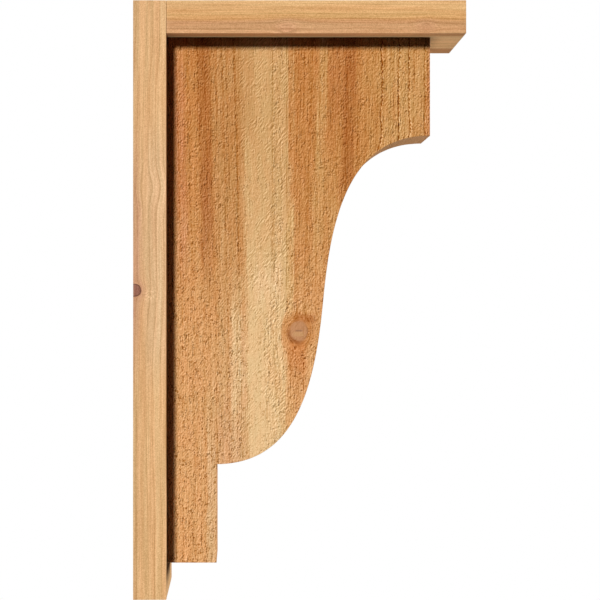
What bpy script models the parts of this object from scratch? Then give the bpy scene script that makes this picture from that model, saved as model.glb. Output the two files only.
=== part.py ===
"""A wooden corbel bracket made from three cedar boards.

A rough-sawn corbel with an ogee front edge stands between a planed back plate, which
lies against the wall, and a planed arm, which butts against the back plate and carries
the load. Metres, +Z up. +X runs out from the wall and Y runs along it. The origin is
the centre of the back plate's rear face, so the wall is the plane X = 0.
"""

import math

import bpy

# Boards: the back plate and the arm are cut from the same planed stock width.
PLATE_WIDTH = 0.1397
BACK_PLATE_THICKNESS = 0.0381
ARM_THICKNESS = 0.0381

# Corbel: its reach from the back plate, its drop below the arm, and its thickness.
CORBEL_DEPTH = 0.3048
CORBEL_HEIGHT = 0.6096
CORBEL_THICKNESS = 0.0889

# Straight ends of the corbel's front edge, above and below the ogee.
NOSE_HEIGHT = 0.1143
FOOT_HEIGHT = 0.1143
FOOT_DEPTH = 0.05715

# How far the plates run on past the corbel.
ARM_OVERHANG = 0.0381
BACK_PLATE_TAIL = 0.0381

# Ogee: it leaves the nose and the foot level and crosses its own middle on a steep
# line. The two pulls are shares of half its run and half its rise.
OGEE_END_PULL = 0.761
OGEE_MIDDLE_PULL = 0.507
OGEE_MIDDLE_LEAN = math.radians(5.4)
OGEE_STEPS = 40

# Workmanship: the hairline gap left in each joint, and the eased arrises.
JOINT_GAP = 0.0003
PLANED_EDGE_ROUND = 0.0009
SAWN_EDGE_ROUND = 0.0006
EDGE_ROUND_SEGMENTS = 2

# Places that follow from the sizes above.
BACK_PLATE_HEIGHT = ARM_THICKNESS + CORBEL_HEIGHT + BACK_PLATE_TAIL
TOP_Z = BACK_PLATE_HEIGHT / 2
ARM_UNDERSIDE_Z = TOP_Z - ARM_THICKNESS
CORBEL_BOTTOM_Z = ARM_UNDERSIDE_Z - CORBEL_HEIGHT
CORBEL_NOSE_X = BACK_PLATE_THICKNESS + CORBEL_DEPTH
ARM_END_X = CORBEL_NOSE_X + ARM_OVERHANG


def clear_scene():
    """Remove every object of the scene the script starts in."""
    for thing in list(bpy.data.objects):
        bpy.data.objects.remove(thing, do_unlink=True)


def wood(name, colour, roughness):
    """A plain wood material: its linear colour, and how matt it is."""
    material = bpy.data.materials.new(name)
    material.use_nodes = True
    shader = material.node_tree.nodes["Principled BSDF"]
    shader.inputs["Base Color"].default_value = (*colour, 1.0)
    shader.inputs["Roughness"].default_value = roughness
    shader.inputs["Metallic"].default_value = 0.0
    material.diffuse_color = (*colour, 1.0)
    return material


def ease_edges(piece, radius):
    """Round the sharp arrises of a piece, as a sanding block leaves them."""
    bevel = piece.modifiers.new("eased arrises", "BEVEL")
    bevel.width = radius
    bevel.segments = EDGE_ROUND_SEGMENTS
    bevel.limit_method = "ANGLE"
    bevel.angle_limit = math.radians(40)


def board(name, low, high, material, collection):
    """A planed board between its lowest and highest corners, with eased arrises."""
    size = [top - bottom for bottom, top in zip(low, high)]
    centre = [(top + bottom) / 2 for bottom, top in zip(low, high)]
    bpy.ops.mesh.primitive_cube_add(size=1.0, location=centre)
    piece = bpy.context.object
    piece.name = name
    piece.scale = size
    bpy.ops.object.transform_apply(location=False, rotation=False, scale=True)
    piece.data.materials.append(material)
    ease_edges(piece, PLANED_EDGE_ROUND)
    for old in list(piece.users_collection):
        old.objects.unlink(piece)
    collection.objects.link(piece)
    return piece


def corbel_outline():
    """The corbel's side view as (point, arriving handle, leaving handle) triples.

    Points are (x, z) in the bracket's frame, and a handle is None beside a straight
    run. The ogee is two Bezier spans, each the other turned half round the middle.
    """
    rear = BACK_PLATE_THICKNESS + JOINT_GAP
    top = ARM_UNDERSIDE_Z - JOINT_GAP
    foot_x = BACK_PLATE_THICKNESS + FOOT_DEPTH
    nose_z = ARM_UNDERSIDE_Z - NOSE_HEIGHT
    foot_z = CORBEL_BOTTOM_Z + FOOT_HEIGHT
    half_run = (CORBEL_NOSE_X - foot_x) / 2
    half_rise = (nose_z - foot_z) / 2
    middle = (foot_x + half_run, foot_z + half_rise)
    end_pull = OGEE_END_PULL * half_run
    lean_x = OGEE_MIDDLE_PULL * half_rise * math.sin(OGEE_MIDDLE_LEAN)
    lean_z = OGEE_MIDDLE_PULL * half_rise * math.cos(OGEE_MIDDLE_LEAN)
    return [
        ((rear, CORBEL_BOTTOM_Z), None, None),
        ((foot_x, CORBEL_BOTTOM_Z), None, None),
        ((foot_x, foot_z), None, (foot_x + end_pull, foot_z)),
        (middle, (middle[0] - lean_x, middle[1] - lean_z), (middle[0] + lean_x, middle[1] + lean_z)),
        ((CORBEL_NOSE_X, nose_z), (CORBEL_NOSE_X - end_pull, nose_z), None),
        ((CORBEL_NOSE_X, top), None, None),
        ((rear, top), None, None),
    ]


def make_corbel(material, collection):
    """The corbel: its outline as a filled curve, as thick as the timber it is sawn from."""
    outline = corbel_outline()
    curve = bpy.data.curves.new("corbel", "CURVE")
    curve.dimensions = "2D"
    curve.fill_mode = "BOTH"
    curve.extrude = CORBEL_THICKNESS / 2
    curve.resolution_u = OGEE_STEPS
    spline = curve.splines.new("BEZIER")
    spline.bezier_points.add(len(outline) - 1)
    spline.use_cyclic_u = True
    for knot, (point, arriving, leaving) in zip(spline.bezier_points, outline):
        knot.co = (*point, 0.0)
        knot.handle_left_type = "VECTOR" if arriving is None else "FREE"
        knot.handle_right_type = "VECTOR" if leaving is None else "FREE"
        if arriving is not None:
            knot.handle_left = (*arriving, 0.0)
        if leaving is not None:
            knot.handle_right = (*leaving, 0.0)
    curve.materials.append(material)

    piece = bpy.data.objects.new("corbel", curve)
    piece.rotation_euler = (math.radians(90), 0.0, 0.0)
    collection.objects.link(piece)
    weld = piece.modifiers.new("caps to walls", "WELD")
    weld.merge_threshold = 0.00005
    ease_edges(piece, SAWN_EDGE_ROUND)
    return piece


def make_bracket():
    """Make the three boards in a collection of their own."""
    clear_scene()
    bracket = bpy.data.collections.new("corbel_bracket")
    bpy.context.scene.collection.children.link(bracket)
    half_width = PLATE_WIDTH / 2

    back_plate_cedar = wood("back_plate_planed_cedar", (0.68, 0.41, 0.20), 0.55)
    arm_cedar = wood("arm_planed_cedar", (0.66, 0.37, 0.17), 0.55)
    corbel_cedar = wood("corbel_rough_sawn_cedar", (0.60, 0.29, 0.10), 0.75)

    board(
        "back_plate",
        (0.0, -half_width, TOP_Z - BACK_PLATE_HEIGHT),
        (BACK_PLATE_THICKNESS, half_width, TOP_Z),
        back_plate_cedar,
        bracket,
    )
    board(
        "arm",
        (BACK_PLATE_THICKNESS + JOINT_GAP, -half_width, ARM_UNDERSIDE_Z),
        (ARM_END_X, half_width, TOP_Z),
        arm_cedar,
        bracket,
    )
    make_corbel(corbel_cedar, bracket)


make_bracket()
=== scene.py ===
# %% [markdown]
# A wooden corbel bracket, from bare boards to a studio picture.
#
# The real bracket is three pieces of western cedar. A thick, rough-sawn corbel with an
# ogee front edge stands between two planed boards: a back plate that lies against the
# wall, and an arm on top that carries the load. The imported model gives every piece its
# place and size, and this lesson gives each one its real surface: the growth rings, the
# knots, the torn fibres that a band saw leaves, and the smooth skin under a planer.

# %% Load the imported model
import math

import bpy
import numpy as np
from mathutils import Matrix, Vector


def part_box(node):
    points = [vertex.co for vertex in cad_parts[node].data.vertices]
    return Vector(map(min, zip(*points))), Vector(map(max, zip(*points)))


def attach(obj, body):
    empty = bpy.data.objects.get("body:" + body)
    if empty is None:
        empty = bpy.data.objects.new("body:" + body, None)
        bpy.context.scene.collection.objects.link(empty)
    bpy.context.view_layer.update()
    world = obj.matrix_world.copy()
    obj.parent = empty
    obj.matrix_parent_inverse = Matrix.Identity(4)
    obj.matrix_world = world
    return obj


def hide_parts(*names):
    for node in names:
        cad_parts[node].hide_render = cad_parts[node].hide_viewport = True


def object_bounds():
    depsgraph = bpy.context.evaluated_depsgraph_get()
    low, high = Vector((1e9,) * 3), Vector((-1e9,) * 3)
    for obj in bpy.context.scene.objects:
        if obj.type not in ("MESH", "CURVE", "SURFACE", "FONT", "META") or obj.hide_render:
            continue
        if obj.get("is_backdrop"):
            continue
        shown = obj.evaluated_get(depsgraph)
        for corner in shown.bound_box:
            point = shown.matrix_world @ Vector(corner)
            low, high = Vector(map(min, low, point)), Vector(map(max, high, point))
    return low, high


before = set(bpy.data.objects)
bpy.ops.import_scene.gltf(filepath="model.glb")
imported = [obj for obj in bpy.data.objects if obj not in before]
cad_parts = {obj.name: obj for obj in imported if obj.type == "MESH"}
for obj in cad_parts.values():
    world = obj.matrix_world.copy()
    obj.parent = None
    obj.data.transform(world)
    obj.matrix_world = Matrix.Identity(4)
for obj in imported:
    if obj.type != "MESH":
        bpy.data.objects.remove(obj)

cad_box = [list(corner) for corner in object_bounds()]
plate_low, plate_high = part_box("back_plate")
arm_low, arm_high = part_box("arm")
corbel_low, corbel_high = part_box("corbel")
print("bracket size in mm:", [round(1000 * (high - low), 1) for low, high in zip(*cad_box)])

# %% [markdown]
# The photograph was taken square on, from a little under two metres away. The edges
# that run away from the eye all meet at one point of the picture, left of its middle,
# so the camera looks straight along +Y from that point's place on the bracket, and the
# frame is shifted sideways to take in the arm. This could also be done by turning the
# camera, but then the boards' edges would no longer be upright and level.

# %% Camera at the photograph's eye
PHOTO_SIDE = 600              # pixels, both ways
VANISHING_X = 239.6           # pixel column where the receding edges meet
VANISHING_Y = 300.6           # pixel row of the same point
WALL_COLUMN = 132.95          # pixel column of the wall plane on the near edges
TOP_ROW = 0.0                 # pixel row of the bracket's top on the near edges
NEAR_SCALE = 875.0            # pixels to the metre on the near edges
LENS_MM = 90.0
SENSOR_MM = 36.0

camera = bpy.data.objects.new("camera", bpy.data.cameras.new("camera"))
bpy.context.scene.collection.objects.link(camera)
bpy.context.scene.camera = camera
camera.data.lens = LENS_MM
camera.data.sensor_width = SENSOR_MM
camera.data.clip_end = 30.0
camera.data.shift_x = (PHOTO_SIDE / 2 - VANISHING_X) / PHOTO_SIDE
camera.data.shift_y = (VANISHING_Y - PHOTO_SIDE / 2) / PHOTO_SIDE
eye_distance = LENS_MM / SENSOR_MM * PHOTO_SIDE / NEAR_SCALE
camera.location = (
    plate_low.x + (VANISHING_X - WALL_COLUMN) / NEAR_SCALE,
    plate_low.y - eye_distance,
    plate_high.z - (VANISHING_Y - TOP_ROW) / NEAR_SCALE,
)
camera.rotation_euler = (math.radians(90), 0.0, 0.0)
print("eye at", [round(value, 3) for value in camera.location])

# %% [markdown]
# The light is a soft studio key from the upper left, in front of the bracket: it throws
# the short dark shadow that the overhanging arm and back plate cast on the corbel. A
# sun lamp with a wide disc gives that shadow its soft edge at any distance. The shadow
# is nearly black, so the air around the bracket gives almost no light of its own, and
# the other lamps shine on faces that the photograph hardly shows. A lamp from below
# lights the undersides, and lets no light bounce, so the shadow stays deep.

# %% Lamps
KEY_TRAVEL = (0.388, 1.0, -0.52)
KEY_STRENGTH = 3.72
KEY_DISC_DEG = 12.0
FAR_KEY_STRENGTH = 3.2
FILL_DISC_DEG = 20.0


def studio_lamp(name, travel, strength, disc_deg, bounces=8):
    """A sun lamp whose light travels in the given direction, with a soft round disc."""
    data = bpy.data.lights.new(name, "SUN")
    data.energy = strength
    data.angle = math.radians(disc_deg)
    data.cycles.max_bounces = bounces
    lamp = bpy.data.objects.new(name, data)
    direction = Vector(travel).normalized()
    lamp.rotation_euler = direction.to_track_quat("-Z", "Y").to_euler()
    lamp.location = -2.0 * direction
    bpy.context.scene.collection.objects.link(lamp)


studio_lamp("key", KEY_TRAVEL, KEY_STRENGTH, KEY_DISC_DEG)
studio_lamp("key_for_the_far_side", (0.388, -1.0, -0.52), FAR_KEY_STRENGTH, KEY_DISC_DEG)
studio_lamp("fill_for_the_front_edges", (-1.0, -0.35, -0.35), 3.2, FILL_DISC_DEG)
studio_lamp("fill_for_the_wall_face", (1.0, -0.25, -0.10), 1.6, FILL_DISC_DEG)
studio_lamp("fill_from_below", (0.0, 0.02, 1.0), 1.45, FILL_DISC_DEG, bounces=0)

# %% [markdown]
# The backdrop is white where the camera sees it and dim where it lights the bracket,
# which a Light Path node in the world can tell apart. The floor is pale and a good way
# down, because the bracket hangs on a wall. It neither shades the lamp from below nor
# bounces light up into the shadows.

# %% Air and floor
AIR_LIGHT = 0.018
FLOOR_DROP = 1.2
FLOOR_SIDE = 9.0

world = bpy.data.worlds.new("studio_air")
bpy.context.scene.world = world
world.use_nodes = True
air = world.node_tree
air.nodes.clear()
seen_air = air.nodes.new("ShaderNodeBackground")
seen_air.inputs["Color"].default_value = (1.0, 1.0, 1.0, 1.0)
dim_air = air.nodes.new("ShaderNodeBackground")
dim_air.inputs["Color"].default_value = (1.0, 0.97, 0.94, 1.0)
dim_air.inputs["Strength"].default_value = AIR_LIGHT
ray = air.nodes.new("ShaderNodeLightPath")
choose_air = air.nodes.new("ShaderNodeMixShader")
air_out = air.nodes.new("ShaderNodeOutputWorld")
air.links.new(ray.outputs["Is Camera Ray"], choose_air.inputs["Fac"])
air.links.new(dim_air.outputs["Background"], choose_air.inputs[1])
air.links.new(seen_air.outputs["Background"], choose_air.inputs[2])
air.links.new(choose_air.outputs["Shader"], air_out.inputs["Surface"])
bpy.context.scene.view_settings.view_transform = "Standard"

floor_z = plate_low.z - FLOOR_DROP
floor_mesh = bpy.data.meshes.new("floor")
half = FLOOR_SIDE / 2
floor_corners = [(-half, -half), (half, -half), (half, half), (-half, half)]
floor_mesh.from_pydata([(x, y, floor_z) for x, y in floor_corners], [], [(0, 1, 2, 3)])
floor = bpy.data.objects.new("floor", floor_mesh)
bpy.context.scene.collection.objects.link(floor)
floor_paint = bpy.data.materials.new("pale_floor")
floor_paint.use_nodes = True
floor_shader = floor_paint.node_tree.nodes["Principled BSDF"]
floor_shader.inputs["Base Color"].default_value = (0.86, 0.86, 0.85, 1.0)
floor_shader.inputs["Roughness"].default_value = 0.9
floor_mesh.materials.append(floor_paint)
floor.visible_diffuse = False
floor.visible_glossy = False
floor.visible_shadow = False
floor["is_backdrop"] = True
print("floor at z =", round(floor_z, 3))

# %% [markdown]
# Wood is never flat. All the relief here comes from one helper, value noise: random
# numbers on a lattice with a smooth blend between them. Cells that are long one way
# give ridges along the grain, and short ones give torn spots. Each use has its own seed,
# so the same wood comes out every time.

# %% Noise on a lattice
MM = 0.001
LATTICE = 256


def smooth_noise(across, along, cell_across, cell_along, seed):
    """Numbers from -1 to 1 that drift over the surface.

    Each point lies in a cell of a lattice of random numbers. With s and t its place in
    the cell, 0 to 1, the result blends the four corners by s*s*(3 - 2s) and t*t*(3 - 2t).
    """
    lattice = np.random.default_rng(seed).uniform(-1.0, 1.0, (LATTICE, LATTICE))
    u = np.asarray(across, float) / cell_across
    v = np.asarray(along, float) / cell_along
    column = np.floor(u).astype(int)
    row = np.floor(v).astype(int)
    s = u - column
    t = v - row
    s = s * s * (3 - 2 * s)
    t = t * t * (3 - 2 * t)
    left, right = column % LATTICE, (column + 1) % LATTICE
    below, above = row % LATTICE, (row + 1) % LATTICE
    lower = lattice[below, left] * (1 - s) + lattice[below, right] * s
    upper = lattice[above, left] * (1 - s) + lattice[above, right] * s
    return lower * (1 - t) + upper * t


def smooth_step(value, start, end):
    """0 below start, 1 above end, and an S curve x*x*(3 - 2x) between them."""
    x = np.clip((value - start) / (end - start), 0.0, 1.0)
    return x * x * (3 - 2 * x)


sample = smooth_noise(np.arange(1000) * 0.37, np.arange(1000) * 0.11, 1.0, 1.0, 5)
print("noise runs from", round(sample.min(), 2), "to", round(sample.max(), 2))

# %% [markdown]
# Every surface below is a grid: points worked out as whole arrays, joined by four-sided
# faces. These helpers turn a grid into faces, and points and faces into a piece that
# rides on the bracket's one body, stands for its solid and names its finish.

# %% From grids to pieces
SHARP_ANGLE_DEG = 62.0


def grid_faces(index, flip=False):
    """Faces between the neighbours of a 2D array of point numbers.

    The face at (i, j) takes (i, j), (i+1, j), (i+1, j+1) and (i, j+1), so it looks along
    first direction x second direction, or the other way when flipped.
    """
    corners = [index[:-1, :-1], index[1:, :-1], index[1:, 1:], index[:-1, 1:]]
    faces = np.stack([corner.ravel() for corner in corners], axis=1)
    return faces[:, ::-1] if flip else faces


def make_piece(name, points, faces, marks, material, node):
    """A closed piece from its points and faces, with one value a point for each mark."""
    mesh = bpy.data.meshes.new(name)
    mesh.from_pydata(points.tolist(), [], faces.tolist())
    for mark, values in marks.items():
        attribute = mesh.attributes.new(mark, "FLOAT", "POINT")
        attribute.data.foreach_set("value", np.ascontiguousarray(values, np.float32))
    mesh.shade_smooth()
    mesh.set_sharp_from_angle(angle=math.radians(SHARP_ANGLE_DEG))
    mesh.materials.append(material)
    mesh.validate()
    piece = bpy.data.objects.new(name, mesh)
    bpy.context.scene.collection.objects.link(piece)
    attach(piece, "root")
    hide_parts(node)
    low, high = points.min(axis=0), points.max(axis=0)
    size = [round(float(value), 2) for value in (high - low) / MM]
    triangles = sum(len(polygon.vertices) - 2 for polygon in mesh.polygons)
    print(f"{name}: {triangles} triangles, {size} mm")


# %% [markdown]
# The finishes are built from a few shader node groups, each made once and placed in
# every material that needs it. Nodes wired up one by one are hard to read, so a node's
# output is wrapped as a Wire here: adding or multiplying two wires makes the Math node
# that does it, and a finish reads as the formula that it is.

# %% Wires between nodes


class Wire:
    """What comes out of a node. Arithmetic on wires makes Math nodes."""

    def __init__(self, socket):
        self.socket = socket

    def __add__(self, other):
        return calc("ADD", self, other)

    def __sub__(self, other):
        return calc("SUBTRACT", self, other)

    def __rsub__(self, other):
        return calc("SUBTRACT", other, self)

    def __mul__(self, other):
        return calc("MULTIPLY", self, other)

    def __truediv__(self, other):
        return calc("DIVIDE", self, other)

    def __rtruediv__(self, other):
        return calc("DIVIDE", other, self)

    def __abs__(self):
        return calc("ABSOLUTE", self)


def connect(value, socket):
    """Put a wire, a number or a colour into a socket."""
    if isinstance(value, Wire):
        socket.id_data.links.new(value.socket, socket)
    else:
        socket.default_value = value


def new_node(kind, inputs, **settings):
    """A shader node, in the tree of its first wired input, with its inputs filled in."""
    tree = next(value.socket.id_data for value in inputs.values() if isinstance(value, Wire))
    node = tree.nodes.new("ShaderNode" + kind)
    for setting, value in settings.items():
        setattr(node, setting, value)
    for label, value in inputs.items():
        connect(value, node.inputs[label])
    return node


# %% [markdown]
# Most masks are built from a few shapes: a straight run between two numbers, a smooth
# step up or down, a hump of two such steps, and nearness to a middle. ColorRamp nodes
# could draw them too, but nothing can be wired into a ramp's stops.

# %% Shader helpers for numbers


def calc(operation, *values, clamp=False):
    """One Math node and its result."""
    node = new_node("Math", dict(enumerate(values)), operation=operation, use_clamp=clamp)
    return Wire(node.outputs[0])


def fade(value, at_zero, at_one):
    """A straight run from one number, where the value is 0, to another, where it is 1."""
    return calc("MULTIPLY_ADD", value, at_one - at_zero, at_zero)


def step_up(value, start, end):
    """0 below start and 1 above end, smooth between. End before start steps down."""
    ends = {"From Min": start, "From Max": end}
    if not isinstance(start, Wire) and end < start:
        ends = {"From Min": end, "From Max": start, "To Min": 1.0, "To Max": 0.0}
    node = new_node("MapRange", {"Value": value, **ends}, interpolation_type="SMOOTHSTEP")
    return Wire(node.outputs["Result"])


def hump(value, foot, top, top_end, far_foot):
    """0 up to the foot, 1 from the top to its end, and 0 again past the far foot."""
    return step_up(value, foot, top) * step_up(value, far_foot, top_end)


def near_to(value, middle, outer, inner):
    """1 within the inner distance of a middle, and 0 beyond the outer one."""
    return step_up(abs(value - middle), outer, inner)


# %% [markdown]
# Patterns need a place to read and give a colour back. Noise takes the size of its blobs
# in millimetres, one for each direction, so long cells along the grain look like fibre.

# %% Shader helpers for places and colours


def vector_calc(operation, *values):
    """One Vector Math node and its result."""
    node = new_node("VectorMath", dict(enumerate(values)), operation=operation)
    return Wire(node.outputs["Vector"])


def split(vector):
    """The X, Y and Z of a vector."""
    node = new_node("SeparateXYZ", {0: vector})
    return [Wire(socket) for socket in node.outputs]


def join(x, y, z):
    """A vector from its X, Y and Z."""
    return Wire(new_node("CombineXYZ", {0: x, 1: y, 2: z}).outputs[0])


def cells(vector, size_mm, seed, detail=0.0, roughness=0.5, curl=0.0):
    """Noise from 0 to 1 whose blobs measure about size_mm across X, Y and Z."""
    scaled = vector_calc("DIVIDE", vector, tuple(side * MM for side in size_mm))
    inputs = {"Vector": scaled, "W": seed, "Scale": 1.0, "Detail": detail,
              "Roughness": roughness, "Distortion": curl}
    return Wire(new_node("TexNoise", inputs, noise_dimensions="4D").outputs["Fac"])


def tint(factor, under, over, mode="MIX"):
    """Lay one colour over another by a factor."""
    node = new_node("Mix", {"Factor": factor, "A": under, "B": over},
                    data_type="RGBA", blend_type=mode, clamp_factor=True)
    return Wire(node.outputs["Result"])


def mark_value(anywhere, name):
    """A mark of the mesh, one value a point, for the material that any wire belongs to."""
    node = anywhere.socket.id_data.nodes.new("ShaderNodeAttribute")
    node.attribute_name = name
    return Wire(node.outputs["Fac"])


def paint(red, green, blue):
    """A colour as a screen shows it, 0 to 255, turned into the linear values shaders use."""
    linear = []
    for value in (red, green, blue):
        share = value / 255
        linear.append(share / 12.92 if share <= 0.04045 else ((share + 0.055) / 1.055) ** 2.4)
    return (*linear, 1.0)


print("heartwood brown in linear values:", [round(value, 3) for value in paint(193, 129, 73)[:3]])

# %% [markdown]
# A node group is a formula with named inputs and outputs, made once and put to work in
# any material with other values. Each one below is made from a plain function, whose
# arguments are the group's inputs in their order.

# %% Node groups from formulas


def sockets(names, kind="Float"):
    """Names with commas between them, each paired with the kind of its socket."""
    return [(name, kind) for name in names.split(", ")]


def make_group(name, inputs, outputs, formula):
    """A node group: the formula takes the inputs' wires and hands back the outputs'."""
    tree = bpy.data.node_groups.new(name, "ShaderNodeTree")
    for label, kind in inputs:
        tree.interface.new_socket(name=label, in_out="INPUT", socket_type="NodeSocket" + kind)
    for label, kind in outputs:
        tree.interface.new_socket(name=label, in_out="OUTPUT", socket_type="NodeSocket" + kind)
    given = tree.nodes.new("NodeGroupInput")
    result = tree.nodes.new("NodeGroupOutput")
    made = formula(*[Wire(given.outputs[label]) for label, _ in inputs])
    for (label, _), wire in zip(outputs, made):
        connect(wire, result.inputs[label])
    print(f"{name}: {len(tree.nodes)} nodes")
    return tree


def place(group, **values):
    """Put a group to work with its own values; an underscore stands for a space."""
    inputs = {label.replace("_", " "): value for label, value in values.items()}
    node = new_node("Group", inputs, node_tree=group)
    return {socket.name: Wire(socket) for socket in node.outputs}


# %% [markdown]
# Growth rings are shells around the pith, so they are worked out in the round and cut
# by whatever face the saw left: straight lines on a quarter-sawn face, arches on a flat
# one and arcs on the end grain. The group measures how far a point is from the pith and
# gives that as a place on the near face, so that a streak can be put where it shows
# there and still run through the whole board. Each ring darkens slowly and stops at
# once, as the late wood of a conifer does.

# %% Growth rings, a node group


def rings_round_the_pith(point, pith, face_depth, lean, wander, ring_width, seed):
    """Place, late wood, ring line and tone.

    With reach, side and face_side the distances of the point and of the near face from
    the pith, the place is pith + sqrt(reach^2 + side^2 - face_side^2). Divided by the
    ring width it counts the years, and what is left over a whole year is the season.
    """
    across, depth, along = split(point)
    pith_x, pith_y, _ = split(pith)
    drift = cells(point, (90, 90, 170), seed) - 0.5 + (cells(point, (30, 30, 55), seed) - 0.5) * 0.35
    reach = across - along * lean + drift * wander - pith_x
    side = depth - pith_y
    face_side = face_depth - pith_y
    square = reach * reach + side * side - face_side * face_side
    ring_place = calc("SQRT", calc("MAXIMUM", square, 0.0)) + pith_x
    uneven = cells(join(ring_place, 0.0, 0.0), (34, 34, 34), seed)
    years = ring_place / ring_width + uneven * 3.0
    year = calc("FLOOR", years)
    season = years - year
    late_wood = hump(season, 0.45, 0.92, 0.93, 1.0)
    ring_line = hump(season, 0.74, 0.90, 0.93, 1.0)
    tone = new_node("TexWhiteNoise", {"W": year}, noise_dimensions="1D").outputs["Value"]
    return ring_place, late_wood, ring_line, Wire(tone)


ring_group = make_group(
    "growth rings",
    sockets("Vector, Pith", "Vector") + sockets("Face Depth, Lean, Wander, Ring Width, Seed"),
    sockets("Place, Late Wood, Ring Line, Ring Tone"),
    rings_round_the_pith,
)

# %% [markdown]
# A knot is a branch that the board was cut through, and the grain parts around it like
# water round a pile. That is just how it is worked out: a point at (dx, dz) from the
# knot takes its grain from dx * (1 - size^2 / distance^2), the stream lines round a
# cylinder. The group hands on the bent coordinates, and masks for the branch itself and
# for the stained wood about it. The branch gets thinner into the board.

# %% Knots, a node group


def grain_round_a_knot(point, centre, size, stretch, length, seed):
    """Bent coordinates, core, halo, distance in radii, low left side, and place in radii."""
    across, depth, along = split(point)
    centre_x, centre_y, centre_z = split(centre)
    dx = across - centre_x
    inward = depth - centre_y
    dz = (along - centre_z) / stretch
    thinning = calc("MAXIMUM", 1.0 - inward / length, 0.02)
    radius = size * thinning * fade(cells(point, (7, 7, 7), seed), 0.9, 1.1)
    from_centre = calc("SQRT", dx * dx + dz * dz)
    distance = from_centre / radius
    core = step_up(distance, 1.12, 0.80)
    parting = 1.0 / calc("MAXIMUM", distance * distance, 1.0) * (1.0 - core)
    bent = join(dx * (1.0 - parting) + centre_x, depth, along)
    halo = step_up(distance, 2.3, 1.0)
    low_left = (dx * -0.65 + dz * -0.75) / calc("MAXIMUM", from_centre, 0.0001)
    local = join(dx / radius, inward, dz / radius)
    return bent, core, halo, distance, step_up(low_left, 0.1, 0.9), local


knot_group = make_group(
    "knot",
    sockets("Vector, Centre", "Vector") + sockets("Size, Stretch, Length, Seed"),
    sockets("Vector", "Vector") + sockets("Core, Halo, Distance, Low Left") + sockets("Local", "Vector"),
    grain_round_a_knot,
)

# %% [markdown]
# Cedar is never one colour. Bands of pale, rosy and dark heartwood follow the rings, so
# a band is a colour laid over a stretch of ring places. It has soft sides, fades out
# along the board where it should, and a little noise breaks it up into fibres.

# %% Bands of coloured wood, a node group


def band_over(colour, band_colour, at, along, fibre, centre, half_width, soft, low_end, high_end,
              end_soft, strength):
    """The band's colour over the wood's, by how far inside the band's sides and ends it is."""
    inside = step_up((abs(at - centre) - half_width) / soft, 1.0, 0.0)
    inside = inside * step_up((along - low_end) / end_soft, -0.5, 0.5)
    inside = inside * step_up((high_end - along) / end_soft, -0.5, 0.5)
    share = calc("MULTIPLY", inside * fade(fibre, 0.55, 1.45), strength, clamp=True)
    return [tint(share, colour, band_colour)]


band_group = make_group(
    "wood band",
    sockets("Color, Band Color", "Color")
    + sockets("Place, Along, Fibre, Centre, Half Width, Soft, Low End, High End, End Soft, Strength"),
    sockets("Color", "Color"),
    band_over,
)


def lay_band(colour, band, at, along, fibre, end_soft):
    """A band from its middle, half width and soft sides in mm, colour, strength and ends."""
    middle, half, soft, band_colour, strength, low_end, high_end = band
    return place(band_group, Color=colour, Band_Color=band_colour, Place=at, Along=along, Fibre=fibre,
                 Centre=middle * MM, Half_Width=half * MM, Soft=soft * MM, Low_End=low_end,
                 High_End=high_end, End_Soft=end_soft, Strength=strength)["Color"]


# %% [markdown]
# Under every finish lies the fibre itself: fine streaks and finer hairs along the grain,
# a few shades lighter and darker.

# %% Fibre, a node group


def streaks_and_hairs(point, seed):
    """Two noises that are long along the grain, with the middle of their range spread out."""
    streak = cells(point, (2.6, 2.6, 110), seed, detail=1.0, roughness=0.6)
    hair = cells(point, (1.1, 1.1, 30), seed)
    return step_up(streak, 0.25, 0.75), step_up(hair, 0.25, 0.75)


fibre_group = make_group(
    "fibre", sockets("Vector", "Vector") + sockets("Seed"), sockets("Streak, Hair"), streaks_and_hairs,
)

# %% [markdown]
# Fibres, pores and shadows darken wood without turning it grey: a dark speck on orange
# cedar is a deeper orange. Multiplying by a grey doesn't do that, but adding the same
# step to red, green and blue does, if it is done to the values that a screen shows. So
# this group leaves linear values with a Gamma node, adds the step, and goes back.

# %% Shade by steps of the screen, a node group
SCREEN_GAMMA = 2.2
DARKEST = (0.03, 0.02, 0.01)
EVEN_BALANCE = (1.0, 1.0, 1.0)


def gamma(colour, power):
    """A colour with each of its values raised to a power."""
    return Wire(new_node("Gamma", {"Color": colour, "Gamma": power}).outputs["Color"])


def step_on_screen(colour, step, balance):
    """The colour's screen values plus step times balance, and never below the darkest."""
    steps = vector_calc("MULTIPLY", balance, join(step, step, step))
    stepped = vector_calc("ADD", gamma(colour, 1 / SCREEN_GAMMA), steps)
    return [gamma(vector_calc("MAXIMUM", stepped, DARKEST), SCREEN_GAMMA)]


shade_group = make_group(
    "screen shade",
    sockets("Color", "Color") + sockets("Step") + sockets("Balance", "Vector"),
    sockets("Color", "Color"),
    step_on_screen,
)


def shaded(colour, step, balance=EVEN_BALANCE):
    """A colour made lighter or darker by a step, with the balance of red, green and blue."""
    return place(shade_group, Color=colour, Step=step, Balance=balance)["Color"]


# %% [markdown]
# A band saw leaves the corbel's broad faces furry. Short torn fibres stand up all over
# it, the blade drags slanting strokes through the softer wood, and here and there a
# tuft is pulled out and leaves a pit. The shading of this fur is painted into its colour
# too. The heights are worked out twice, a little to either side of each point along the
# way the key lamp's light crosses the face. Their mean is the relief, and their
# difference is a painted emboss: painted light on slopes that face the lamp and painted
# shade on slopes that turn away. The pits get painted shade as well.

# %% Torn fibres, a node group
SLANT = math.radians(38)


def turned(vector, angle):
    """Coordinates turned about Y, so that a grain along Z leans over to +X by the angle."""
    x, y, z = split(vector)
    cosine, sine = math.cos(angle), math.sin(angle)
    return join(x * cosine - z * sine, y, x * sine + z * cosine)


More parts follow.
